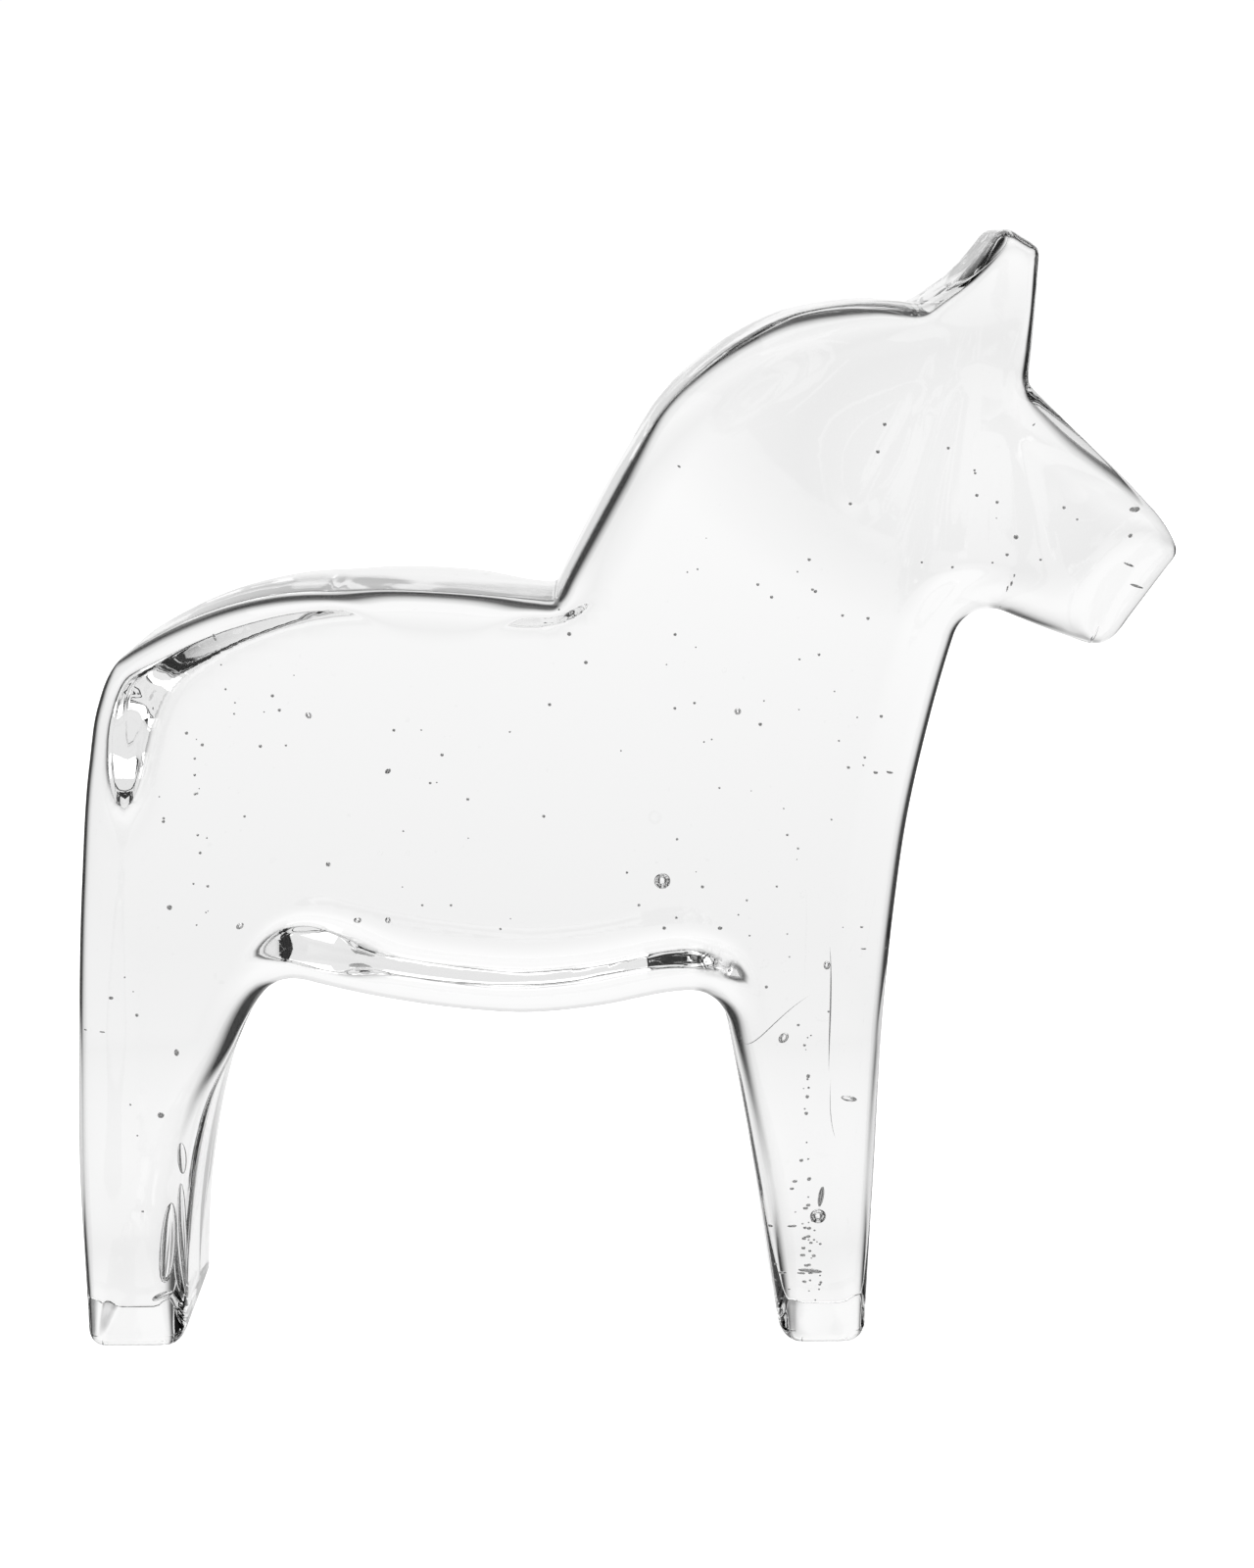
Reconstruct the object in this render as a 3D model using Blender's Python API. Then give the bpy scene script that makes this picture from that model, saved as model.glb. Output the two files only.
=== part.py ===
"""Clear cast-glass horse figurine: one thick slab in the outline of a carved folk horse.

The outline lies in the XZ plane, with the head towards +X and the soles at Z = 0. The slab's
thickness runs along Y, and its front face looks towards -Y. Both faces are flat in the middle and
round over towards the outline, as cast glass does while it cools.
"""

import math

import bmesh
import bpy
import numpy as np
from mathutils import Vector
from mathutils.geometry import delaunay_2d_cdt, interpolate_bezier

MM = 0.001  # the sizes below are in millimetres, and the meshes in metres
FRONT, BACK = -1, 1  # the side of the middle that a face is on, along Y

# Overall size
HEIGHT = 110.0
THICKNESS = 27.0
HUNDREDTHS = 100  # in the whole height

# Rounded edges between each face and the wall around the outline.
# The inset is how far the rounding reaches in over the face, the depth how far it reaches down the wall.
FRONT_ROUNDING_INSET = 4.4
FRONT_ROUNDING_DEPTH = 4.0
BACK_ROUNDING_INSET = 3.4
BACK_ROUNDING_DEPTH = 3.0

# The slab gets thinner from behind towards the soles and towards the tip of the ear.
# The first value is how much thinner it is at the end, the second how far up it starts.
FOOT_THINNING = 7.0
FOOT_THINNING_LENGTH = 28.0
EAR_THINNING = 14.0
EAR_THINNING_LENGTH = 40.0

# The roundings are tighter at the soles and at the tip of the ear: the share of each inset that is left
# there, how far from the tip it stays so, and how much further it's whole again.
FRONT_TIGHT_SHARE = 0.35
BACK_TIGHT_SHARE = 0.05
TIP_TIGHT_REACH = 7.0
TIGHT_LENGTH = 14.0

# Places on the outline where the back's edge sank further while the glass cooled: (x, z) in hundredths
# of the height, how far the place reaches, how much of the front rounding's inset is left there, and
# for the back how far in from the outline the sunken slope starts, how wide it is and how deep it goes.
SUNKEN_EDGES = (
    ((-47.5, 52.3), 6.0, 1.0, 6.4, 6.0, 3.3),
    ((-45.3, 60.0), 6.0, 0.9, 6.3, 5.6, 3.8),
    ((-40.0, 65.5), 6.5, 0.58, 6.0, 4.6, 5.2),
    ((-32.7, 68.2), 7.0, 0.5, 5.6, 4.4, 5.0),
    ((-25.0, 66.0), 5.5, 0.3, 5.3, 4.2, 2.6),
    ((-6.2, 65.8), 6.0, 0.3, 5.4, 4.2, 6.6),
    ((-28.6, 33.2), 6.5, 1.0, 4.0, 4.0, 2.0),
    ((13.6, 30.0), 6.0, 1.0, 4.2, 4.0, 2.0),
)

# Fineness of the mesh
OUTLINE_STEP = 2.0
CORNER_STEP = math.radians(20.0)
FACE_GRID = 4.5
FRONT_RINGS = 6
BACK_RINGS = 5

# How much of the room inside the outline the rounding's rings may take up
ROOM_SHARE = 0.8

# How many straight pieces a smooth line is drawn with, for each step that it's then divided into
FINE_PIECES = 4

# How near the innermost ring the face's grid may come, as a share of its spacing
GRID_MARGIN = 0.6

# Lengths that only guard against a division by zero or a doubled point, in millimetres
TINY = 1e-6

# The outline, clockwise as seen from the front, in hundredths of the height. Each stretch is a smooth
# line through its landmarks (x, z), and starts where the one before it ends. The number beside its
# name is the radius of the corner at its start.
OUTLINE = (
    ("hind_leg_back", 1.7, [
        (-48.3, 0.0), (-48.7, 16.6), (-48.3, 29.0), (-47.5, 43.1), (-46.4, 54.2), (-45.4, 59.4),
        (-43.8, 62.8), (-41.2, 64.7), (-38.0, 66.4), (-34.5, 67.8), (-29.4, 69.0), (-22.0, 69.3),
        (-5.3, 68.4),
    ]),
    ("crest", 0.6, [
        (-5.3, 68.4), (-2.6, 73.4), (1.4, 80.6), (4.1, 84.9), (7.3, 88.2), (11.1, 91.0),
        (14.9, 92.9), (18.8, 93.8), (22.4, 94.1), (26.0, 93.8),
    ]),
    ("ear_back", 0.8, [(26.0, 93.8), (29.1, 95.9), (33.0, 100.4)]),
    ("ear_top", 1.2, [(33.0, 100.4), (36.1, 98.5)]),
    ("ear_front", 1.1, [(36.1, 98.5), (35.9, 93.8), (35.5, 87.1)]),
    ("face", 1.3, [(35.5, 87.1), (39.0, 83.7), (45.8, 77.2), (47.9, 74.8), (49.1, 72.5)]),
    ("muzzle", 1.3, [(49.1, 72.5), (42.9, 63.9)]),
    ("jaw", 2.4, [(42.9, 63.9), (38.3, 65.5), (30.7, 68.6)]),
    ("chest", 3.2, [
        (30.7, 68.6), (29.1, 63.4), (27.3, 56.2), (25.9, 49.2), (24.8, 40.2), (24.1, 31.8),
        (23.4, 14.6), (22.8, 0.0),
    ]),
    ("front_sole", 1.9, [(22.8, 0.0), (15.1, 0.0)]),
    ("front_leg_back", 2.0, [(15.1, 0.0), (12.9, 14.6), (11.2, 23.9), (9.4, 33.2)]),
    ("belly", 3.4, [
        (9.4, 33.2), (5.4, 33.0), (-1.5, 31.7), (-7.8, 31.1), (-14.1, 31.5), (-21.2, 32.6),
        (-30.4, 34.8),
    ]),
    ("hind_leg_front", 3.6, [
        (-30.4, 34.8), (-32.7, 31.4), (-34.3, 27.9), (-36.2, 23.8), (-37.7, 18.4), (-38.7, 11.8),
        (-39.5, 0.0),
    ]),
    ("hind_sole", 1.7, [(-39.5, 0.0), (-48.3, 0.0)]),
)


def smooth_line(landmarks, step):
    """Evenly spaced points on a smooth line through the landmarks, both ends included."""
    points = np.asarray(landmarks, float)
    chords = np.linalg.norm(np.diff(points, axis=0), axis=1)
    along = np.concatenate([[0.0], np.cumsum(chords)])
    tangents = np.gradient(points, along, axis=0)
    drawn = []
    for i, chord in enumerate(chords):
        reach = chord / 3
        knots = (
            points[i],
            points[i] + tangents[i] * reach,
            points[i + 1] - tangents[i + 1] * reach,
            points[i + 1],
        )
        count = math.ceil(chord / step) * FINE_PIECES
        piece = interpolate_bezier(*(Vector((x, z, 0.0)) for x, z in knots), count + 1)
        drawn += [p[:2] for p in piece[:-1]]
    drawn.append(tuple(points[-1]))
    return evenly_spaced(np.array(drawn), step)


def evenly_spaced(line, step):
    """The same line with points about one step apart."""
    lengths = np.linalg.norm(np.diff(line, axis=0), axis=1)
    along = np.concatenate([[0.0], np.cumsum(lengths)])
    count = max(1, round(along[-1] / step))
    places = np.linspace(0.0, along[-1], count + 1)
    return np.stack([np.interp(places, along, line[:, k]) for k in (0, 1)], axis=1)


def cut_back(line, length):
    """The line without its last stretch of that length."""
    lengths = np.linalg.norm(np.diff(line, axis=0), axis=1)
    along = np.concatenate([[0.0], np.cumsum(lengths)])
    end = along[-1] - length
    kept = line[along < end - TINY]
    tip = [np.interp(end, along, line[:, k]) for k in (0, 1)]
    return np.vstack([kept, tip])


def direction(a, b):
    return (b - a) / np.linalg.norm(b - a)


def corner(before, after, radius):
    """Both lines cut back from the corner they share, and the points of the round between them."""
    turn = math.acos(np.clip(direction(*before[-2:]) @ direction(*after[:2]), -1.0, 1.0))
    reach = radius * math.tan(turn / 2)
    before = cut_back(before, reach)
    after = cut_back(after[::-1], reach)[::-1]
    handle = 4 / 3 * math.tan(turn / 4) * radius
    knots = (
        before[-1],
        before[-1] + direction(*before[-2:]) * handle,
        after[0] - direction(*after[:2]) * handle,
        after[0],
    )
    count = max(2, math.ceil(turn / CORNER_STEP))
    arc = interpolate_bezier(*(Vector((x, z, 0.0)) for x, z in knots), count + 1)
    return before, after, np.array([p[:2] for p in arc])[1:-1]


def horse_outline():
    """The closed outline as points in millimetres, HEIGHT tall, with its middle at X = 0."""
    scale = HEIGHT / HUNDREDTHS
    lines = [smooth_line(np.array(marks) * scale, OUTLINE_STEP) for _, _, marks in OUTLINE]
    arcs = []
    for i, (_, radius, _) in enumerate(OUTLINE):
        lines[i - 1], lines[i], arc = corner(lines[i - 1], lines[i], radius * scale)
        arcs.append(arc)
    points = np.vstack([part for pair in zip(arcs, lines) for part in pair])
    points *= HEIGHT / points[:, 1].max()
    points[:, 0] -= (points[:, 0].min() + points[:, 0].max()) / 2
    return points


def inward_normals(outline):
    """Unit normals that point into a clockwise outline."""
    along = np.roll(outline, -1, axis=0) - np.roll(outline, 1, axis=0)
    along /= np.linalg.norm(along, axis=1)[:, None]
    return np.stack([along[:, 1], -along[:, 0]], axis=1)


def room_inside(outline, normals):
    """At each point, the radius of the largest circle inside the outline that touches it there."""
    apart = outline[None] - outline[:, None]
    ahead = np.einsum("ijk,ik->ij", apart, normals)
    square = (apart**2).sum(axis=2)
    radius = np.where(ahead > TINY, square / np.maximum(2 * ahead, TINY), np.inf)
    return radius.min(axis=1)


def distance_to_outline(places, outline):
    """A distance to the outline that stays smooth across the middle of a limb.

    It is the inverse square root of half the integral of 1 / r^3 along the outline, which is the
    plain distance near a straight edge.
    """
    unit = np.roll(outline, -1, axis=0) - outline
    length = np.linalg.norm(unit, axis=1)
    unit /= length[:, None]
    total = np.empty(len(places))
    for i, place in enumerate(places):
        from_start = place - outline
        first = -(from_start * unit).sum(axis=1)
        last = first + length
        away = np.maximum((from_start**2).sum(axis=1) - first**2, TINY**2)
        sweep = last / np.sqrt(last**2 + away) - first / np.sqrt(first**2 + away)
        total[i] = (sweep / away).sum()
    return np.sqrt(2 / total)


def rounding_drop(distance, inset, depth):
    """How far a rounded face lies below its flat middle, at a distance from the outline."""
    share = np.clip(1 - distance / inset, 0.0, 1.0)
    return depth * (1 - np.sqrt(1 - share**2))


def smooth_share(value):
    """A share from 0 to 1 that starts and ends level."""
    share = np.clip(value, 0.0, 1.0)
    return share**2 * (3 - 2 * share)


def distance_to_tip(places, outline):
    """How far each place is from the tip of the ear."""
    return np.linalg.norm(places - outline[outline[:, 1].argmax()], axis=1)


def thinning(places, outline):
    """How much thinner than its full thickness the slab is at each place."""
    foot = FOOT_THINNING * smooth_share(1 - places[:, 1] / FOOT_THINNING_LENGTH)
    ear = EAR_THINNING * smooth_share(1 - distance_to_tip(places, outline) / EAR_THINNING_LENGTH)
    return foot + ear


def sunken_edge(places):
    """How much each place is sunken, the front rounding's share there, and the back's slope."""
    weights = np.zeros(len(places))
    totals = np.zeros((len(places), 4))
    for middle, reach, *values in SUNKEN_EDGES:
        away = np.linalg.norm(places - np.array(middle) * HEIGHT / HUNDREDTHS, axis=1) / reach
        weight = np.exp(-(away**2)) + TINY
        weights += weight
        totals += weight[:, None] * values
    return smooth_share(weights), *(totals / weights[:, None]).T


def rounding_share(places, outline, side):
    """How much of the rounding's inset there is at each place."""
    from_tip = distance_to_tip(places, outline) - TIP_TIGHT_REACH
    from_end = np.minimum(places[:, 1], from_tip) / TIGHT_LENGTH
    least = FRONT_TIGHT_SHARE if side == FRONT else BACK_TIGHT_SHARE
    share = least + (1 - least) * smooth_share(from_end)
    if side == FRONT:
        sunken, front_share, *_ = sunken_edge(places)
        share *= 1 - sunken * (1 - front_share)
    return share


def sinking(places, distance):
    """How much lower the back lies where its edge sank while the glass cooled."""
    sunken, _, inset, width, depth = sunken_edge(places)
    return sunken * depth * smooth_share((inset - distance) / width)


def is_inside(places, polygon):
    """True for each place inside the closed polygon."""
    start, end = polygon, np.roll(polygon, -1, axis=0)
    x, z = places[:, :1], places[:, 1:]
    crosses = (start[:, 1] > z) != (end[:, 1] > z)
    rise = end[:, 1] - start[:, 1]
    rise[rise == 0] = TINY
    meets = start[:, 0] + (z - start[:, 1]) * (end[:, 0] - start[:, 0]) / rise
    return (crosses & (x < meets)).sum(axis=1) % 2 == 1


def grid_inside(polygon, spacing):
    """Points of a square grid inside the polygon, and not close to its edge."""
    low, high = polygon.min(axis=0), polygon.max(axis=0)
    xs = np.arange(low[0] + spacing / 2, high[0], spacing)
    zs = np.arange(low[1] + spacing / 2, high[1], spacing)
    places = np.stack(np.meshgrid(xs, zs), axis=-1).reshape(-1, 2)
    places = places[is_inside(places, polygon)]
    gaps = np.linalg.norm(places[:, None] - polygon[None], axis=2).min(axis=1)
    return places[gaps > spacing * GRID_MARGIN]


def add_face(bm, outline, normals, room, side, inset, depth, rings):
    """One face with its rounded edge. Returns its outermost ring of vertices, where the wall starts."""

    def height_at(places, distance):
        share = rounding_share(places, outline, side)
        if side == FRONT:
            return side * (THICKNESS / 2 - rounding_drop(distance, inset * share, depth))
        height = THICKNESS / 2 - rounding_drop(distance, inset * share, depth * share)
        return height - thinning(places, outline) - sinking(places, distance)

    reach = np.minimum(inset * rounding_share(outline, outline, side), ROOM_SHARE * room)
    first = before = None
    for k in range(rings + 1):
        step = 1 - math.cos(math.pi / 2 * k / rings)
        places = outline + normals * (step * reach)[:, None]
        distance = distance_to_outline(places, outline) if k else np.zeros(len(places))
        ring = add_verts(bm, places, height_at(places, distance))
        if before:
            join_rings(bm, before, ring)
        first, before = first or ring, ring
    middle = grid_inside(places, FACE_GRID)
    inner = add_verts(bm, middle, height_at(middle, distance_to_outline(middle, outline)))
    fill_ring(bm, before + inner, np.vstack([places, middle]), len(places))
    return first


def add_verts(bm, places, heights):
    """Vertices at the places (x, z), at their heights along Y."""
    return [bm.verts.new((x * MM, y * MM, z * MM)) for (x, z), y in zip(places, heights)]


def fill_ring(bm, verts, places, ring_count):
    """Triangles between a ring of vertices, which come first, and those inside it."""
    edges = [(i, (i + 1) % ring_count) for i in range(ring_count)]
    _, _, faces, sources, _, _ = delaunay_2d_cdt([Vector(p) for p in places], edges, [], 1, TINY)
    for face in faces:
        bm.faces.new([verts[sources[i][0]] for i in face])


def join_rings(bm, ring_a, ring_b):
    """Faces between two rings with the same number of vertices."""
    for i in range(len(ring_a)):
        j = (i + 1) % len(ring_a)
        bm.faces.new((ring_a[i], ring_a[j], ring_b[j], ring_b[i]))


def horse_mesh():
    """The whole horse as one closed mesh."""
    outline = horse_outline()
    normals = inward_normals(outline)
    room = room_inside(outline, normals)
    bm = bmesh.new()
    front = add_face(
        bm, outline, normals, room, FRONT, FRONT_ROUNDING_INSET, FRONT_ROUNDING_DEPTH, FRONT_RINGS
    )
    back = add_face(
        bm, outline, normals, room, BACK, BACK_ROUNDING_INSET, BACK_ROUNDING_DEPTH, BACK_RINGS
    )
    join_rings(bm, front, back)
    bmesh.ops.recalc_face_normals(bm, faces=bm.faces)
    mesh = bpy.data.meshes.new("glass_horse")
    bm.to_mesh(mesh)
    bm.free()
    mesh.shade_smooth()
    mesh.set_sharp_from_angle(angle=math.radians(40))
    return mesh


def clear_glass():
    """Colourless glass that light passes through."""
    material = bpy.data.materials.new("clear_glass")
    material.use_nodes = True
    shader = material.node_tree.nodes["Principled BSDF"]
    shader.inputs["Base Color"].default_value = (0.97, 0.98, 0.98, 1.0)
    shader.inputs["Roughness"].default_value = 0.02
    shader.inputs["Metallic"].default_value = 0.0
    shader.inputs["IOR"].default_value = 1.5
    shader.inputs["Transmission Weight"].default_value = 1.0
    return material


def main():
    for obj in list(bpy.data.objects):
        bpy.data.objects.remove(obj)
    figurine = bpy.data.collections.new("glass_horse_figurine")
    bpy.context.scene.collection.children.link(figurine)
    mesh = horse_mesh()
    mesh.materials.append(clear_glass())
    figurine.objects.link(bpy.data.objects.new("glass_horse", mesh))


main()
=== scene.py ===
import math
import random

import bmesh
import bpy
import numpy as np
from mathutils import Euler, Matrix, Vector
from mathutils.geometry import delaunay_2d_cdt, interpolate_bezier


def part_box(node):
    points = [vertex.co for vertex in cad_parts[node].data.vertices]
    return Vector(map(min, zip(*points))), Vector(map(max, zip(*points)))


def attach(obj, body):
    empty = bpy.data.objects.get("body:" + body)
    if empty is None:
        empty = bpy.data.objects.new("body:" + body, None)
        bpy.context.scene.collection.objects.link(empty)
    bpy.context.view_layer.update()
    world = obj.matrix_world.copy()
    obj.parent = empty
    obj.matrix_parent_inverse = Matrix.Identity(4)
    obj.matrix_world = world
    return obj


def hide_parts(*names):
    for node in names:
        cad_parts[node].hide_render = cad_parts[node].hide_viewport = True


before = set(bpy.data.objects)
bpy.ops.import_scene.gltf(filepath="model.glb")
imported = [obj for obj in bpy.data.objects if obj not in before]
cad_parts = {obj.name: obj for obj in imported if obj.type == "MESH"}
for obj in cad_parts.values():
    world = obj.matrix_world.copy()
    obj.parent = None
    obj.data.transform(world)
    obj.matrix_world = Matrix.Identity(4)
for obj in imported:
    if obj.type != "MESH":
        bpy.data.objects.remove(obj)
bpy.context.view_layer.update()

# Lengths are in metres unless a name says otherwise.
MM = 0.001
NODE = "glass_horse"
FRONT, BACK = -1, 1  # the side of the middle that a face is on, along Y
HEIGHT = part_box(NODE)[1].z
HUNDREDTHS = 100
SAME_PLACE = MM / 1000  # points closer than this are one point
WALL_TILT = 0.02  # how far a wall face's normal may lean towards Y

# Rounded edges between each face and the wall around the outline, as the solid has them
FRONT_ROUNDING_INSET = 4.4 * MM
FRONT_ROUNDING_DEPTH = 4.0 * MM
BACK_ROUNDING_INSET = 3.4 * MM
BACK_ROUNDING_DEPTH = 3.0 * MM
FOOT_THINNING = 7.0 * MM
FOOT_THINNING_LENGTH = 28.0 * MM
EAR_THINNING = 14.0 * MM
EAR_THINNING_LENGTH = 40.0 * MM

# How much of each rounding's inset is left at the soles and at the tip of the ear, how far from the
# tip it stays so, and how much further it's whole again
FRONT_TIGHT_SHARE = 0.35
BACK_TIGHT_SHARE = 0.05
TIP_TIGHT_REACH = 7.0 * MM
TIGHT_LENGTH = 14.0 * MM

# Places on the outline where the back's edge sank further while the glass cooled: (x, z) in hundredths
# of the height, and in millimetres how far the place reaches. Then how much of the front rounding's
# inset is left there, and for the back, in millimetres, how far in from the outline the sunken slope
# starts, how wide it is and how deep it goes.
SUNKEN_EDGES = (
    ((-47.5, 52.3), 6.0, 1.0, 6.4, 6.0, 3.3),
    ((-45.3, 60.0), 6.0, 0.9, 6.3, 5.6, 3.8),
    ((-40.0, 65.5), 6.5, 0.58, 6.0, 4.6, 5.2),
    ((-32.7, 68.2), 7.0, 0.5, 5.6, 4.4, 5.0),
    ((-25.0, 66.0), 5.5, 0.3, 5.3, 4.2, 2.6),
    ((-6.2, 65.8), 6.0, 0.3, 5.4, 4.2, 6.6),
    ((-28.6, 33.2), 6.5, 1.0, 4.0, 4.0, 2.0),
    ((13.6, 30.0), 6.0, 1.0, 4.2, 4.0, 2.0),
)

# Fineness of the glass mesh
OUTLINE_STEP = 0.45 * MM
CORNER_PIECES = 4  # least pieces of the smooth line between two points of the solid's outline
FRONT_RINGS = 14
BACK_RINGS = 12
WALL_ROWS = 6
FACE_GRID = 0.45 * MM
COARSE_EVERY = 3  # in the flat middle, one grid point in so many is kept each way
FINE_SHARE = 1.6  # the fine grid reaches so many times the rounding's inset in from the outline
ROOM_SHARE = 0.8  # how much of the room across a limb the rings may take
GRID_MARGIN = 0.6  # least gap between the innermost ring and the grid, in grid steps
CHUNK = 500  # places worked on at once
MESH_SCALE = 1000  # the triangulation works in millimetres
MESH_TOLERANCE = 1e-6
INSIDE_TRIANGLES = 1  # the triangulation's setting for triangles inside the ring only
TINY = 1e-9  # keeps divisions away from zero

# Camera, solved from the photograph: its place, how far it looks down and to the right, and its lens
CAMERA_PLACE = (-0.0029, -0.2695, 0.1081)
CAMERA_DOWN = math.radians(11.107)
CAMERA_RIGHT = math.radians(0.85)
CAMERA_LENS_MM = 62.46
CAMERA_SENSOR_MM = 36.0
PHOTO_SIZE = (1280, 1600)
FOCAL_PIXELS = CAMERA_LENS_MM / CAMERA_SENSOR_MM * PHOTO_SIZE[1]

GLASS_IOR = 1.5
GLASS_TINT = (0.992, 0.992, 0.992, 1.0)
# Dark tint of the small hollows and folds: painted shade, standing in for the dark look that light gives
# tiny bubbles in glass
SEED_PAINTED_SHADE_TINT = (0.3, 0.3, 0.3, 1.0)

# Air bubbles in the glass: (x, y) in pixels of the photograph, half the width in pixels, how many
# times longer than wide, how far the long way leans to the right in degrees, and how far below the
# front face in millimetres
BUBBLES = (
    (676, 899, 8.5, 1.0, 0, 4.0), (835, 1241, 8.0, 1.0, 0, 4.0), (800, 1059, 4.6, 1.35, 35, 5.0),
    (753, 726, 3.5, 1.0, 0, 7.0), (844, 985, 3.6, 1.3, 0, 4.0), (315, 730, 3.0, 1.2, -40, 7.0),
    (396, 787, 2.4, 1.5, 50, 5.0), (335, 882, 2.5, 1.0, 0, 9.0), (365, 939, 3.0, 1.4, 85, 4.0),
    (396, 939, 3.0, 1.1, 0, 4.0), (245, 945, 3.0, 1.5, 55, 5.0), (173, 926, 2.8, 1.0, 0, 5.0),
    (180, 1074, 2.4, 1.6, 0, 5.0), (164, 1138, 2.8, 1.2, 20, 5.0), (866, 1121, 3.0, 2.0, 110, 5.0),
    (825, 1098, 2.0, 1.2, 0, 5.0), (824, 1119, 2.0, 1.0, 0, 5.0), (823, 1136, 2.0, 1.0, 0, 5.0),
    (818, 1184, 1.8, 1.0, 0, 5.0), (826, 1203, 2.0, 1.2, 30, 5.0), (838, 1221, 2.9, 4.0, 8, 5.0),
    (1037, 548, 2.5, 1.0, 0, 5.0), (1028, 566, 1.8, 1.0, 0, 7.0), (1086, 518, 1.8, 1.0, 0, 7.0),
    (903, 433, 2.0, 1.0, 0, 5.0), (896, 461, 2.0, 1.0, 0, 7.0), (868, 514, 1.8, 1.0, 0, 7.0),
    (826, 571, 1.8, 1.0, 0, 9.0), (860, 628, 1.6, 1.0, 0, 7.0), (886, 631, 1.8, 1.0, 0, 7.0),
    (836, 668, 1.6, 1.0, 0, 7.0), (776, 739, 2.0, 1.0, 0, 5.0), (561, 719, 1.8, 1.0, 0, 7.0),
    (598, 676, 2.0, 1.0, 0, 7.0), (581, 647, 2.2, 1.0, 0, 7.0), (555, 833, 1.8, 1.0, 0, 9.0),
    (278, 710, 1.8, 1.0, 0, 7.0), (866, 783, 1.8, 1.0, 0, 7.0), (893, 788, 1.8, 1.0, 0, 7.0),
    (908, 788, 1.6, 1.0, 0, 7.0), (678, 947, 2.0, 1.0, 0, 5.0), (717, 905, 1.8, 1.0, 0, 5.0),
    (735, 947, 2.0, 1.3, 80, 4.0), (1158, 520, 1.6, 2.8, 115, 5.0), (1152, 576, 1.2, 4.0, 110, 4.0),
    (1160, 598, 1.2, 4.0, 95, 4.0), (186, 1182, 3.6, 5.0, 2, 3.0), (186, 1264, 3.6, 18.0, 3, 3.0),
    (172, 1268, 6.4, 7.2, 6, 3.0), (180, 1282, 1.6, 26.0, 4, 4.0), (166, 1322, 3.4, 2.4, 60, 3.0),
    (829, 1297, 2.6, 4.0, 95, 5.0),
)

# Fine folds in the glass: four points in pixels that steer the curve of each, its half width in pixels,
# and how far below the front face in millimetres
FOLDS = (
    ((755, 1059), (765, 1082), (790, 1036), (828, 1015), 0.5, 3.0),
    ((847, 965), (850, 1005), (846, 1050), (846, 1094), 0.9, 4.0),
    ((848, 1100), (846, 1130), (848, 1150), (853, 1162), 0.3, 4.0),
)
FOLD_PIECES = 40  # along each fold
FOLD_SIDES = 8  # around each fold

# Clouds of tiny seeds: (x, y) of the middle, half the width and half the height in pixels, how many
SEED_CLOUDS = (
    (824, 1120, 4, 70, 10), (829, 1285, 11, 42, 34), (817, 1235, 9, 50, 8), (1050, 520, 110, 90, 16),
    (800, 600, 130, 140, 20), (300, 760, 160, 110, 20), (650, 850, 240, 110, 30), (830, 900, 60, 160, 12),
    (140, 1120, 40, 150, 8), (205, 860, 8, 100, 14),
)
SEED_WIDTHS = (0.7, 1.9)
SEED_DEPTHS = (4.0 * MM, 9.0 * MM)
SEED_MARGIN = 2.5 * MM
CLEAR_BUBBLE_WIDTH = 3.0  # hollows with a smaller half width get the dark skin, which is painted shade
LONG_STRETCH = 4.5  # bubbles with this stretch or more are flat
LONG_THICKNESS = 0.5  # thickness of a flat bubble, as a share of its width
DROP_TRIES = 4  # rounds to find where a line of sight meets the rounded front
SLOPE_STEP = 0.1 * MM
BUBBLE_FINENESS = 3
SEED_FINENESS = 2
CLEAR_SKIN, PAINTED_SHADE_SKIN = 0, 1  # material slots of the horse; the second is glass with a dark tint, painted shade on the small hollows and folds
RANDOM_SEED = 7

# Faint relief of the cast surface: soft clouds all over, and flat chill wrinkles across the legs
CLOUD_SCALE = 70.0
WRINKLE_SCALE = 190.0
WRINKLE_STRETCH = 0.16
WRINKLE_STOPS = ((0.0, 0.0), (0.07, 1.0), (0.25, 1.0), (0.4, 0.08), (1.0, 0.04))
RELIEF_DEPTH = 0.02 * MM
NOISE_DETAIL = 4.0

# The studio: a white screen behind the horse with black cards around it, and soft light in front.
# Stops are (place, brightness). A place is an angle off the axis through the horse's faces, as a share
# of a right angle: sideways, upwards or downwards.
BEHIND_SIDE_STOPS = (
    (0.0, 1.0), (0.15, 0.99), (0.2, 0.97), (0.25, 0.9), (0.29, 0.62), (0.33, 0.22), (0.36, 0.03),
    (0.78, 0.02), (0.84, 0.78), (1.0, 0.8),
)
BEHIND_UP_STOPS = (
    (0.0, 1.0), (0.3, 0.98), (0.38, 0.94), (0.42, 0.5), (0.45, 0.06), (0.53, 0.06), (0.57, 0.75), (1.0, 0.8),
)
BEHIND_DOWN_STOPS = (
    (0.0, 1.0), (0.05, 0.99), (0.1, 0.94), (0.16, 0.89), (0.2, 0.92), (0.26, 0.97), (0.4, 0.93),
    (0.47, 0.6), (0.51, 0.3), (0.56, 0.03), (0.7, 0.03), (0.76, 0.74), (1.0, 0.8),
)
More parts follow.
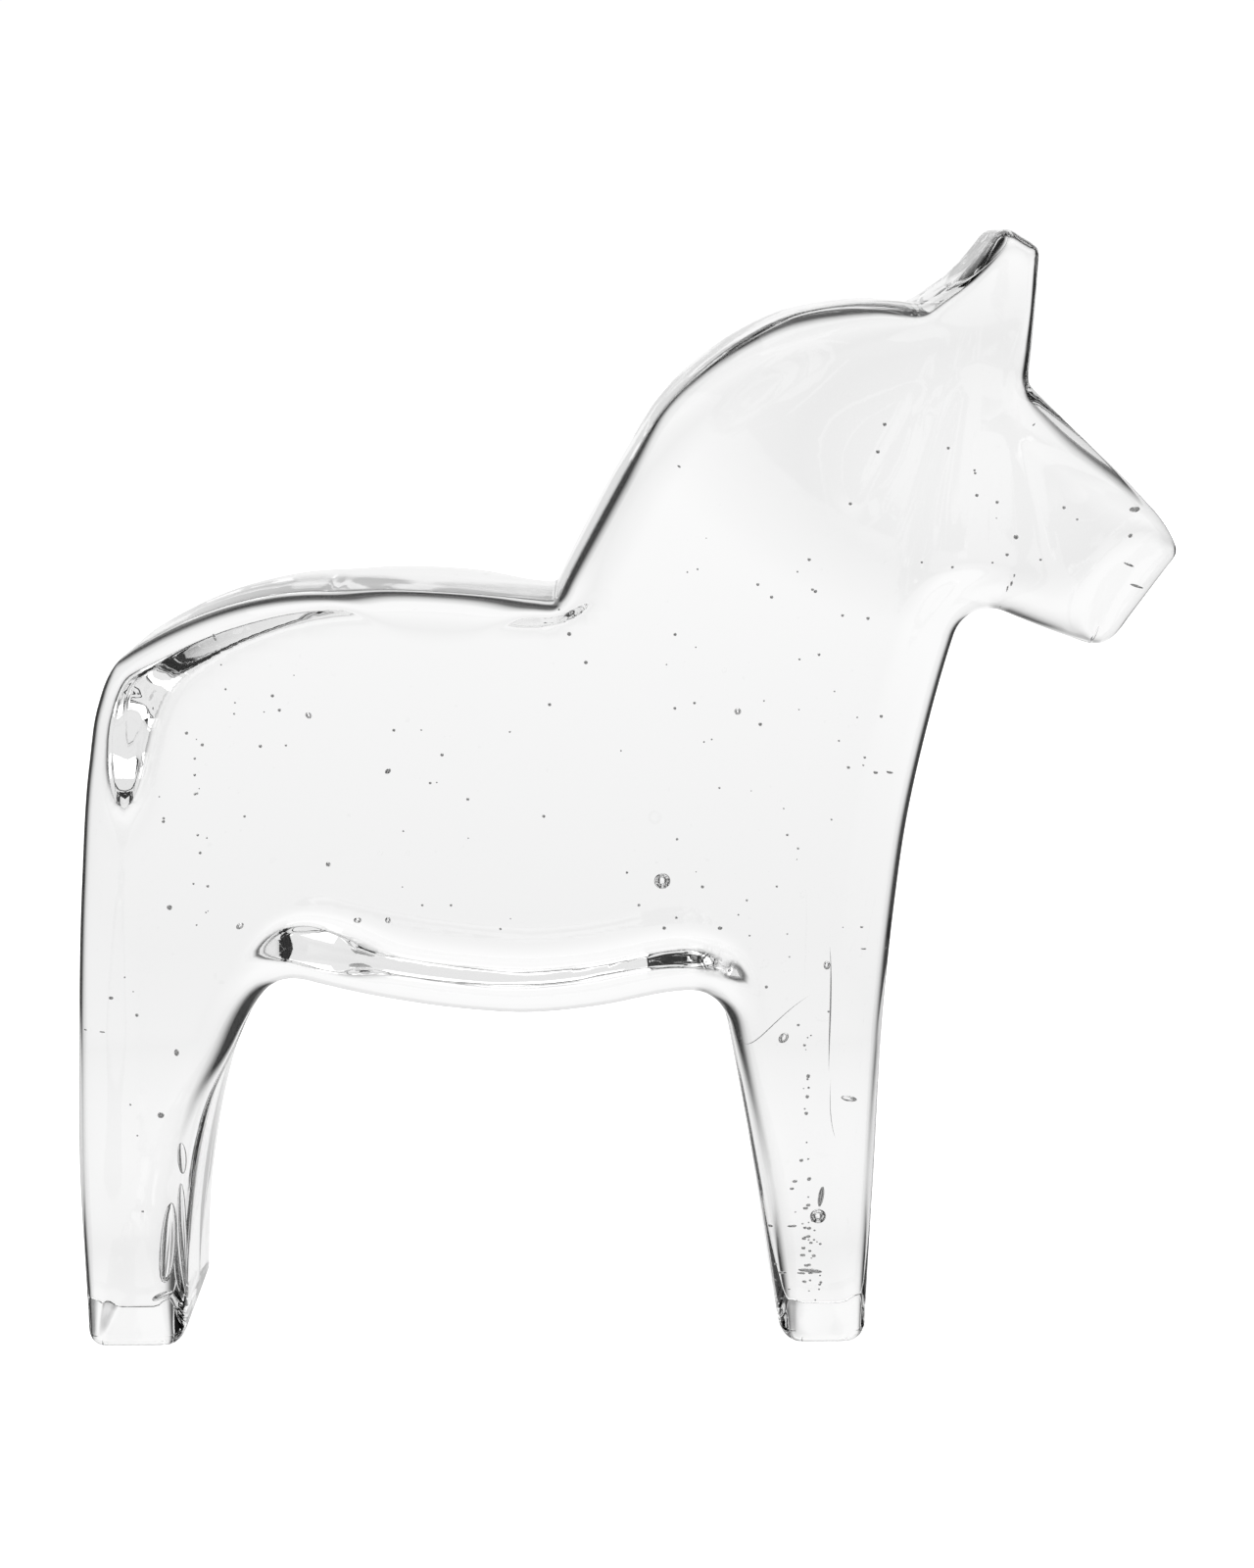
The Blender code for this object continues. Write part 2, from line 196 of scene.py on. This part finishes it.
# The screen's upper right corner is dimmer: its brightness upwards, and where that starts sideways
UP_RIGHT_STOPS = ((0.0, 1.0), (0.05, 0.97), (0.11, 0.88), (0.2, 0.74), (0.24, 0.58), (0.3, 0.4))
RIGHT_STOPS = ((0.08, 0.0), (0.26, 1.0))
BEFORE_STOPS = ((0.0, 0.84), (1.0, 0.79))
WHITE = (1.0, 1.0, 1.0, 1.0)
BACKDROP_WHITE = (1.05, 1.05, 1.05, 1.0)
FLOOR_SIZE = 4.0
FLOOR_COLOUR = (0.9, 0.9, 0.9, 1.0)
FLOOR_ROUGHNESS = 0.8
FLOOR_GLOW = 1.0
LIGHT_SIZE = 0.8
LIGHT_HEIGHT = 0.9
LIGHT_WATTS = 1.6
RAMP_MIDDLE = 0.5  # where a ramp's new stops start, before they are placed

# Sockets of the Mix node that go by number, because their names repeat
MIX_FIRST_COLOUR, MIX_SECOND_COLOUR, MIX_RESULT_COLOUR = 6, 7, 2


def smooth_closed_line(points, step):
    """Points about one step apart on a smooth closed line through the given points."""
    before, after = np.roll(points, 1, axis=0), np.roll(points, -1, axis=0)
    back = np.linalg.norm(points - before, axis=1)[:, None]
    ahead = np.linalg.norm(after - points, axis=1)[:, None]
    tangents = (points - before) / back * ahead + (after - points) / ahead * back
    tangents /= back + ahead
    line = []
    for i in range(len(points)):
        j = (i + 1) % len(points)
        reach = ahead[i, 0] / 3
        knots = (points[i], points[i] + tangents[i] * reach, points[j] - tangents[j] * reach, points[j])
        count = max(CORNER_PIECES, math.ceil(ahead[i, 0] / step))
        piece = interpolate_bezier(*(Vector((x, z, 0.0)) for x, z in knots), count + 1)
        line += [p[:2] for p in piece[:-1]]
    return np.array(line)


def wall_outline(node):
    """The solid's outline (x, z), clockwise as seen from the front, read from the rim of its wall."""
    bm = bmesh.new()
    bm.from_mesh(node.data)
    bmesh.ops.remove_doubles(bm, verts=bm.verts, dist=SAME_PLACE)
    wall = [f for f in bm.faces if abs(f.normal.y) < WALL_TILT]
    rim_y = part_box(NODE)[0].y + FRONT_ROUNDING_DEPTH
    rim = {v for f in wall for v in f.verts if abs(v.co.y - rim_y) < SAME_PLACE}
    start = min(rim, key=lambda v: (v.co.z, v.co.x))
    loop, before, here = [start], None, start
    while True:
        nexts = [e.other_vert(here) for e in here.link_edges if e.other_vert(here) in rim]
        ahead = [v for v in nexts if v is not before]
        before, here = here, ahead[0]
        if here is start:
            break
        loop.append(here)
    points = np.array([(v.co.x, v.co.z) for v in loop])
    bm.free()
    x, z = points[:, 0], points[:, 1]
    area = (x * np.roll(z, -1) - np.roll(x, -1) * z).sum() / 2
    return points if area < 0 else points[::-1]


def inward_normals(outline):
    """Unit normals that point into a clockwise outline."""
    along = np.roll(outline, -1, axis=0) - np.roll(outline, 1, axis=0)
    along /= np.linalg.norm(along, axis=1)[:, None]
    return np.stack([along[:, 1], -along[:, 0]], axis=1)


def room_inside(outline, normals):
    """At each point, the radius of the largest circle inside the outline that touches it there."""
    apart = outline[None] - outline[:, None]
    ahead = np.einsum("ijk,ik->ij", apart, normals)
    square = (apart**2).sum(axis=2)
    radius = np.where(ahead > TINY, square / np.maximum(2 * ahead, TINY), np.inf)
    return radius.min(axis=1)


def distance_to_outline(places, outline):
    """A distance to the outline that stays smooth across the middle of a limb, as the solid's does."""
    unit = np.roll(outline, -1, axis=0) - outline
    length = np.linalg.norm(unit, axis=1)
    unit /= length[:, None]
    total = np.empty(len(places))
    for i in range(0, len(places), CHUNK):
        some = places[i:i + CHUNK]
        from_start = some[:, None] - outline[None]
        first = -(from_start * unit).sum(axis=2)
        last = first + length
        away = np.maximum((from_start**2).sum(axis=2) - first**2, TINY**2)
        sweep = last / np.sqrt(last**2 + away) - first / np.sqrt(first**2 + away)
        total[i:i + CHUNK] = (sweep / away).sum(axis=1)
    return np.sqrt(2 / total)


def smooth_share(value):
    """A share from 0 to 1 that starts and ends level."""
    share = np.clip(value, 0.0, 1.0)
    return share**2 * (3 - 2 * share)


def rounding_drop(distance, inset, depth):
    """How far a rounded face lies below its flat middle, at a distance from the outline."""
    share = np.clip(1 - distance / inset, 0.0, 1.0)
    return depth * (1 - np.sqrt(1 - share**2))


def thinning(places, outline):
    """How much thinner than its full thickness the slab is at each place."""
    tip = outline[outline[:, 1].argmax()]
    from_tip = np.linalg.norm(places - tip, axis=1)
    foot = FOOT_THINNING * smooth_share(1 - places[:, 1] / FOOT_THINNING_LENGTH)
    ear = EAR_THINNING * smooth_share(1 - from_tip / EAR_THINNING_LENGTH)
    return foot + ear


def sunken_edge(places):
    """How much each place is sunken, the front rounding's share, and the back's slope."""
    totals = np.zeros((len(places), 4))
    weights = np.zeros(len(places))
    for middle, reach, *values in SUNKEN_EDGES:
        away = np.linalg.norm(places - np.array(middle) * HEIGHT / HUNDREDTHS, axis=1) / (reach * MM)
        weight = np.exp(-(away**2)) + TINY
        weights += weight
        totals += weight[:, None] * values
    return smooth_share(weights), *(totals / weights[:, None]).T


def rounding_share(places, outline, side):
    """How much of the rounding's inset there is at each place."""
    tip = outline[outline[:, 1].argmax()]
    from_tip = np.linalg.norm(places - tip, axis=1) - TIP_TIGHT_REACH
    from_end = np.minimum(places[:, 1], from_tip) / TIGHT_LENGTH
    least = FRONT_TIGHT_SHARE if side == FRONT else BACK_TIGHT_SHARE
    share = least + (1 - least) * smooth_share(from_end)
    if side == FRONT:
        sunken, front_share, *_ = sunken_edge(places)
        share *= 1 - sunken * (1 - front_share)
    return share


def sinking(places, distance):
    """How much lower the back lies where its edge sank while the glass cooled."""
    sunken, _, inset, width, depth = sunken_edge(places)
    return sunken * depth * MM * smooth_share((inset - distance / MM) / width)


def is_inside(places, polygon):
    """True for each place inside the closed polygon."""
    start, end = polygon, np.roll(polygon, -1, axis=0)
    rise = end[:, 1] - start[:, 1]
    rise[rise == 0] = TINY
    inside = np.zeros(len(places), bool)
    for i in range(0, len(places), CHUNK):
        x, z = places[i:i + CHUNK, :1], places[i:i + CHUNK, 1:]
        crosses = (start[:, 1] > z) != (end[:, 1] > z)
        meets = start[:, 0] + (z - start[:, 1]) * (end[:, 0] - start[:, 0]) / rise
        inside[i:i + CHUNK] = (crosses & (x < meets)).sum(axis=1) % 2 == 1
    return inside


def face_grid(ring, outline, inset):
    """Grid points inside the innermost ring, close together where the face still rounds over."""
    low, high = ring.min(axis=0), ring.max(axis=0)
    xs = np.arange(low[0] + FACE_GRID / 2, high[0], FACE_GRID)
    zs = np.arange(low[1] + FACE_GRID / 2, high[1], FACE_GRID)
    columns, rows = np.meshgrid(np.arange(len(xs)), np.arange(len(zs)))
    places = np.stack([xs[columns], zs[rows]], axis=-1).reshape(-1, 2)
    coarse = ((columns % COARSE_EVERY == 0) & (rows % COARSE_EVERY == 0)).ravel()
    keep = is_inside(places, ring)
    places, coarse = places[keep], coarse[keep]
    distance = distance_to_outline(places, outline)
    keep = coarse | (distance < inset * FINE_SHARE)
    places, distance = places[keep], distance[keep]
    gaps = np.concatenate([
        np.linalg.norm(places[i:i + CHUNK, None] - ring[None], axis=2).min(axis=1)
        for i in range(0, len(places), CHUNK)
    ])
    clear = gaps > FACE_GRID * GRID_MARGIN
    return places[clear], distance[clear]


def add_verts(bm, places, heights):
    """New vertices at places (x, z), each at its height along Y."""
    return [bm.verts.new((x, y, z)) for (x, z), y in zip(places, heights)]


def join_rings(bm, ring_a, ring_b):
    """A band of faces between two closed rings of as many vertices."""
    for i in range(len(ring_a)):
        j = (i + 1) % len(ring_a)
        bm.faces.new((ring_a[i], ring_a[j], ring_b[j], ring_b[i]))


def add_face(bm, outline, normals, room, side, inset, depth, rings, thickness):
    """One face with its rounded edge. Returns its outermost ring of vertices, where the wall starts."""

    def height_at(places, distance):
        share = rounding_share(places, outline, side)
        if side == FRONT:
            return side * (thickness / 2 - rounding_drop(distance, inset * share, depth))
        height = thickness / 2 - rounding_drop(distance, inset * share, depth * share)
        height = height - thinning(places, outline) - sinking(places, distance)
        return side * height

    inset_here = inset * rounding_share(outline, outline, side)
    reach = np.minimum(inset_here, ROOM_SHARE * room)
    first = before = None
    for k in range(rings + 1):
        step = 1 - math.cos(math.pi / 2 * k / rings)
        places = outline + normals * (step * reach)[:, None]
        distance = distance_to_outline(places, outline) if k else np.zeros(len(places))
        ring = add_verts(bm, places, height_at(places, distance))
        if before:
            join_rings(bm, before, ring)
        first, before = first or ring, ring
    middle, distance = face_grid(places, outline, inset)
    verts = before + add_verts(bm, middle, height_at(middle, distance))
    edges = [(i, (i + 1) % len(before)) for i in range(len(before))]
    flat = [Vector(p) * MESH_SCALE for p in np.vstack([places, middle])]
    _, _, faces, sources, _, _ = delaunay_2d_cdt(flat, edges, [], INSIDE_TRIANGLES, MESH_TOLERANCE)
    for face in faces:
        bm.faces.new([verts[sources[i][0]] for i in face])
    return first


def add_wall(bm, front, back):
    """The wall between the faces' outermost rings, in rows."""
    before = front
    for k in range(1, WALL_ROWS):
        share = k / WALL_ROWS
        ring = [bm.verts.new(a.co.lerp(b.co, share)) for a, b in zip(front, back)]
        join_rings(bm, before, ring)
        before = ring
    join_rings(bm, before, back)


def glass_mesh(node):
    """The whole horse as one mesh: its faces, its wall and the hollows sealed in it."""
    low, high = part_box(NODE)
    thickness = high[1] - low[1]
    outline = np.clip(smooth_closed_line(wall_outline(node), OUTLINE_STEP), low.xz, high.xz)
    normals = inward_normals(outline)
    room = room_inside(outline, normals)
    bm = bmesh.new()
    front = add_face(
        bm, outline, normals, room, FRONT,
        FRONT_ROUNDING_INSET, FRONT_ROUNDING_DEPTH, FRONT_RINGS, thickness,
    )
    back = add_face(
        bm, outline, normals, room, BACK,
        BACK_ROUNDING_INSET, BACK_ROUNDING_DEPTH, BACK_RINGS, thickness,
    )
    add_wall(bm, front, back)
    bmesh.ops.recalc_face_normals(bm, faces=bm.faces)
    add_bubbles(bm, outline)
    mesh = bpy.data.meshes.new("clear_glass_body")
    bm.to_mesh(mesh)
    bm.free()
    mesh.shade_smooth()
    return mesh


def camera_turn():
    return Euler((math.pi / 2 - CAMERA_DOWN, 0.0, -CAMERA_RIGHT))


def front_drop(place, outline):
    """How far the front face lies below its flat middle at a place."""
    spot = np.array([[place.x, place.z]])
    inset = FRONT_ROUNDING_INSET * rounding_share(spot, outline, FRONT)
    return rounding_drop(distance_to_outline(spot, outline), inset, FRONT_ROUNDING_DEPTH)[0]


def place_in_glass(x, y, depth, outline):
    """What a pixel of the photograph shows at a depth below the front face, seen through its roundness."""
    width, height = PHOTO_SIZE
    start = Vector(CAMERA_PLACE)
    ray = camera_turn().to_matrix() @ Vector((x - width / 2, height / 2 - y, -FOCAL_PIXELS))
    ray.normalize()
    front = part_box(NODE)[0].y
    drop = 0.0
    for _ in range(DROP_TRIES):
        entry = start + ray * ((front + drop - start.y) / ray.y)
        drop = front_drop(entry, outline)
    slope_x, slope_z = (
        (front_drop(entry + step, outline) - front_drop(entry - step, outline)) / (2 * step.length)
        for step in (Vector((SLOPE_STEP, 0.0, 0.0)), Vector((0.0, 0.0, SLOPE_STEP)))
    )
    inward = Vector((-slope_x, 1.0, -slope_z)).normalized()
    facing = ray.dot(inward)
    bent = (ray - inward * facing) / GLASS_IOR
    bent += inward * math.sqrt(1 - bent.length_squared)
    return entry + bent * (depth / bent.y)


def unit_sphere(fineness):
    """The vertices and faces of a ball of radius 1. The faces look into it."""
    bm = bmesh.new()
    bmesh.ops.create_icosphere(bm, subdivisions=fineness, radius=1.0)
    verts = np.array([v.co for v in bm.verts])
    faces = np.array([[v.index for v in reversed(f.verts)] for f in bm.faces])
    bm.free()
    return verts, faces


def add_void(voids, ball, place, width, length, thickness, lean):
    """Adds a closed hollow, with half its sizes in pixels, to the list of voids.

    Each void is its vertices, its faces and their material slot.
    """
    pixel = (place.y - CAMERA_PLACE[1]) / FOCAL_PIXELS
    half = Vector((width, thickness, length)) * pixel
    matrix = np.array(Matrix.LocRotScale(place, Euler((0.0, math.radians(lean), 0.0)), half))
    verts, faces = ball
    count = sum(len(v) for v, _, _ in voids)
    # Small hollows get the dark skin, which is painted shade
    slot = PAINTED_SHADE_SKIN if width < CLEAR_BUBBLE_WIDTH else CLEAR_SKIN
    voids.append((verts @ matrix[:3, :3].T + matrix[:3, 3], faces + count, slot))


def add_fold(voids, points, half_width, depth, outline):
    """Adds a fine closed gap along a curve, thin at its ends, to the list of voids."""
    curve = interpolate_bezier(*(Vector((x, y, 0.0)) for x, y in points), FOLD_PIECES + 1)
    line = [place_in_glass(p.x, p.y, depth, outline) for p in curve]
    turns = np.arange(FOLD_SIDES) * 2 * math.pi / FOLD_SIDES
    verts = [line[0]]
    for i in range(1, FOLD_PIECES):
        across = (line[i + 1] - line[i - 1]).cross(Vector((0.0, 1.0, 0.0))).normalized()
        pixel = (line[i].y - CAMERA_PLACE[1]) / FOCAL_PIXELS
        radius = half_width * pixel * math.sin(math.pi * i / FOLD_PIECES)
        for turn in turns:
            verts.append(line[i] + (across * math.cos(turn) + Vector((0.0, math.sin(turn), 0.0))) * radius)
    verts.append(line[-1])
    faces = []
    for j in range(FOLD_SIDES):
        k = (j + 1) % FOLD_SIDES
        faces.append((0, 1 + k, 1 + j))
        for i in range(FOLD_PIECES - 2):
            low, high = 1 + i * FOLD_SIDES, 1 + (i + 1) * FOLD_SIDES
            faces += [(low + j, high + k, high + j), (low + j, low + k, high + k)]
        low = 1 + (FOLD_PIECES - 2) * FOLD_SIDES
        faces.append((low + j, low + k, len(verts) - 1))
    count = sum(len(v) for v, _, _ in voids)
    # Folds get the dark skin, which is painted shade
    voids.append((np.array(verts), np.array(faces) + count, PAINTED_SHADE_SKIN))


def add_bubbles(bm, outline):
    """The bubbles and gaps measured in the photograph, and clouds of seeds too small to measure."""
    voids = []
    fine, coarse = unit_sphere(BUBBLE_FINENESS), unit_sphere(SEED_FINENESS)
    for x, y, width, stretch, lean, depth in BUBBLES:
        place = place_in_glass(x, y, depth * MM, outline)
        thickness = width if stretch < LONG_STRETCH else width * LONG_THICKNESS
        add_void(voids, fine, place, width, width * stretch, thickness, lean)
    for *points, half_width, depth in FOLDS:
        add_fold(voids, points, half_width, depth * MM, outline)
    chance = random.Random(RANDOM_SEED)
    for x, y, half_width, half_height, count in SEED_CLOUDS:
        for _ in range(count):
            across = chance.uniform(-half_width, half_width)
            down = chance.uniform(-half_height, half_height)
            place = place_in_glass(x + across, y + down, chance.uniform(*SEED_DEPTHS), outline)
            width = chance.uniform(*SEED_WIDTHS)
            spot = np.array([[place.x, place.z]])
            if is_inside(spot, outline)[0] and distance_to_outline(spot, outline)[0] > SEED_MARGIN:
                add_void(voids, coarse, place, width, width, width, 0.0)
    mesh = bpy.data.meshes.new("voids")
    mesh.from_pydata(np.vstack([v for v, _, _ in voids]), [], np.vstack([f for _, f, _ in voids]))
    slots = [[slot] * len(faces) for _, faces, slot in voids]
    mesh.polygons.foreach_set("material_index", np.concatenate(slots))
    bm.from_mesh(mesh)
    bpy.data.meshes.remove(mesh)


def clear_glass(name, tint):
    """See-through glass with a plain tint and a faint relief; a dark tint makes it painted shade."""
    material = bpy.data.materials.new(name)
    material.use_nodes = True
    tree = material.node_tree
    shader = tree.nodes["Principled BSDF"]
    shader.inputs["Base Color"].default_value = tint
    shader.inputs["Roughness"].default_value = 0.0
    shader.inputs["IOR"].default_value = GLASS_IOR
    shader.inputs["Transmission Weight"].default_value = 1.0
    place = tree.nodes.new("ShaderNodeTexCoord").outputs["Object"]
    clouds = noise_texture(tree, place, CLOUD_SCALE, 1.0)
    wrinkles = noise_texture(tree, place, WRINKLE_SCALE, WRINKLE_STRETCH)
    split = tree.nodes.new("ShaderNodeSeparateXYZ")
    tree.links.new(place, split.inputs[0])
    height_share = math_node(tree, "DIVIDE", split.outputs["Z"], HEIGHT)
    wrinkles = math_node(tree, "MULTIPLY", wrinkles, ramp(tree, height_share, WRINKLE_STOPS))
    bump = tree.nodes.new("ShaderNodeBump")
    bump.inputs["Distance"].default_value = RELIEF_DEPTH
    tree.links.new(math_node(tree, "ADD", clouds, wrinkles), bump.inputs["Height"])
    tree.links.new(bump.outputs["Normal"], shader.inputs["Normal"])
    return material


def add_camera():
    data = bpy.data.cameras.new("camera")
    data.sensor_width = CAMERA_SENSOR_MM
    data.lens = CAMERA_LENS_MM
    camera = bpy.data.objects.new("camera", data)
    camera.location = CAMERA_PLACE
    camera.rotation_euler = camera_turn()
    bpy.context.scene.collection.objects.link(camera)
    bpy.context.scene.camera = camera


def ramp(tree, value, stops):
    """A colour ramp of greys with the given (place, brightness) stops."""
    node = tree.nodes.new("ShaderNodeValToRGB")
    elements = node.color_ramp.elements
    while len(elements) < len(stops):
        elements.new(RAMP_MIDDLE)
    for element, (place, grey) in zip(elements, stops):
        element.position = place
        element.color = (grey, grey, grey, 1.0)
    tree.links.new(value, node.inputs["Fac"])
    return node.outputs["Color"]


def math_node(tree, operation, *values):
    """The result of a maths node on numbers or other nodes' results."""
    node = tree.nodes.new("ShaderNodeMath")
    node.operation = operation
    for socket, value in zip(node.inputs, values):
        if isinstance(value, (int, float)):
            socket.default_value = value
        else:
            tree.links.new(value, socket)
    return node.outputs[0]


def mix_colours(tree, share, first, second):
    """The first colour where the share is 0, and the second where it's 1."""
    mix = tree.nodes.new("ShaderNodeMix")
    mix.data_type = "RGBA"
    tree.links.new(share, mix.inputs["Factor"])
    for number, value in ((MIX_FIRST_COLOUR, first), (MIX_SECOND_COLOUR, second)):
        if isinstance(value, tuple):
            mix.inputs[number].default_value = value
        else:
            tree.links.new(value, mix.inputs[number])
    return mix.outputs[MIX_RESULT_COLOUR]


def noise_texture(tree, place, scale, stretch):
    """Noise in the object's own space, drawn out sideways where the stretch is below 1."""
    mapping = tree.nodes.new("ShaderNodeMapping")
    mapping.inputs["Scale"].default_value = (scale * stretch, scale * stretch, scale)
    tree.links.new(place, mapping.inputs["Vector"])
    texture = tree.nodes.new("ShaderNodeTexNoise")
    texture.inputs["Scale"].default_value = 1.0
    texture.inputs["Detail"].default_value = NOISE_DETAIL
    tree.links.new(mapping.outputs["Vector"], texture.inputs["Vector"])
    return texture.outputs["Fac"]


def angle_off(tree, sine):
    """The angle that has this sine, as a share of a right angle."""
    return math_node(tree, "DIVIDE", math_node(tree, "ARCSINE", sine), math.pi / 2)


def studio_world():
    world = bpy.data.worlds.new("studio")
    bpy.context.scene.world = world
    world.use_nodes = True
    tree = world.node_tree
    tree.nodes.clear()
    direction = tree.nodes.new("ShaderNodeTexCoord").outputs["Generated"]
    split = tree.nodes.new("ShaderNodeSeparateXYZ")
    tree.links.new(direction, split.inputs[0])
    side = angle_off(tree, math_node(tree, "ABSOLUTE", split.outputs["X"]))
    up = angle_off(tree, math_node(tree, "MAXIMUM", split.outputs["Z"], 0.0))
    down = math_node(tree, "MULTIPLY", split.outputs["Z"], -1.0)
    down = angle_off(tree, math_node(tree, "MAXIMUM", down, 0.0))
    behind = math_node(
        tree, "MULTIPLY", ramp(tree, side, BEHIND_SIDE_STOPS), ramp(tree, up, BEHIND_UP_STOPS)
    )
    behind = math_node(tree, "MULTIPLY", behind, ramp(tree, down, BEHIND_DOWN_STOPS))
    right = math_node(tree, "MAXIMUM", split.outputs["X"], 0.0)
    corner = mix_colours(tree, ramp(tree, right, RIGHT_STOPS), WHITE, ramp(tree, up, UP_RIGHT_STOPS))
    behind = math_node(tree, "MULTIPLY", behind, corner)
    is_before = math_node(tree, "LESS_THAN", split.outputs["Y"], 0.0)
    around = mix_colours(tree, is_before, behind, ramp(tree, side, BEFORE_STOPS))
    rays = tree.nodes.new("ShaderNodeLightPath")
    seen = mix_colours(tree, rays.outputs["Is Camera Ray"], around, BACKDROP_WHITE)
    background = tree.nodes.new("ShaderNodeBackground")
    tree.links.new(seen, background.inputs["Color"])
    output = tree.nodes.new("ShaderNodeOutputWorld")
    tree.links.new(background.outputs[0], output.inputs["Surface"])


def add_floor():
    """A lit white floor. Only the camera sees it: the glass shows the studio all around instead."""
    bm = bmesh.new()
    bmesh.ops.create_grid(bm, x_segments=1, y_segments=1, size=FLOOR_SIZE / 2)
    mesh = bpy.data.meshes.new("floor")
    bm.to_mesh(mesh)
    bm.free()
    floor = bpy.data.objects.new("floor", mesh)
    bpy.context.scene.collection.objects.link(floor)
    floor.visible_diffuse = False
    floor.visible_glossy = False
    floor.visible_transmission = False
    material = bpy.data.materials.new("pale_floor")
    material.use_nodes = True
    shader = material.node_tree.nodes["Principled BSDF"]
    shader.inputs["Base Color"].default_value = FLOOR_COLOUR
    shader.inputs["Roughness"].default_value = FLOOR_ROUGHNESS
    shader.inputs["Emission Color"].default_value = WHITE
    shader.inputs["Emission Strength"].default_value = FLOOR_GLOW
    mesh.materials.append(material)


def add_light():
    data = bpy.data.lights.new("overhead", "AREA")
    data.shape = "SQUARE"
    data.size = LIGHT_SIZE
    data.energy = LIGHT_WATTS
    light = bpy.data.objects.new("overhead", data)
    light.location = (0.0, 0.0, LIGHT_HEIGHT)
    bpy.context.scene.collection.objects.link(light)


add_camera()
studio_world()
add_floor()
add_light()
bpy.context.scene.view_settings.view_transform = "Standard"

horse = bpy.data.objects.new("clear_glass_body", glass_mesh(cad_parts[NODE]))
bpy.context.scene.collection.objects.link(horse)
horse.data.materials.append(clear_glass("clear_cast_glass", GLASS_TINT))
# The second material's dark tint is painted shade on the small hollows and folds
horse.data.materials.append(clear_glass("seed_painted_shade", SEED_PAINTED_SHADE_TINT))
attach(horse, "root")
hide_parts(NODE)
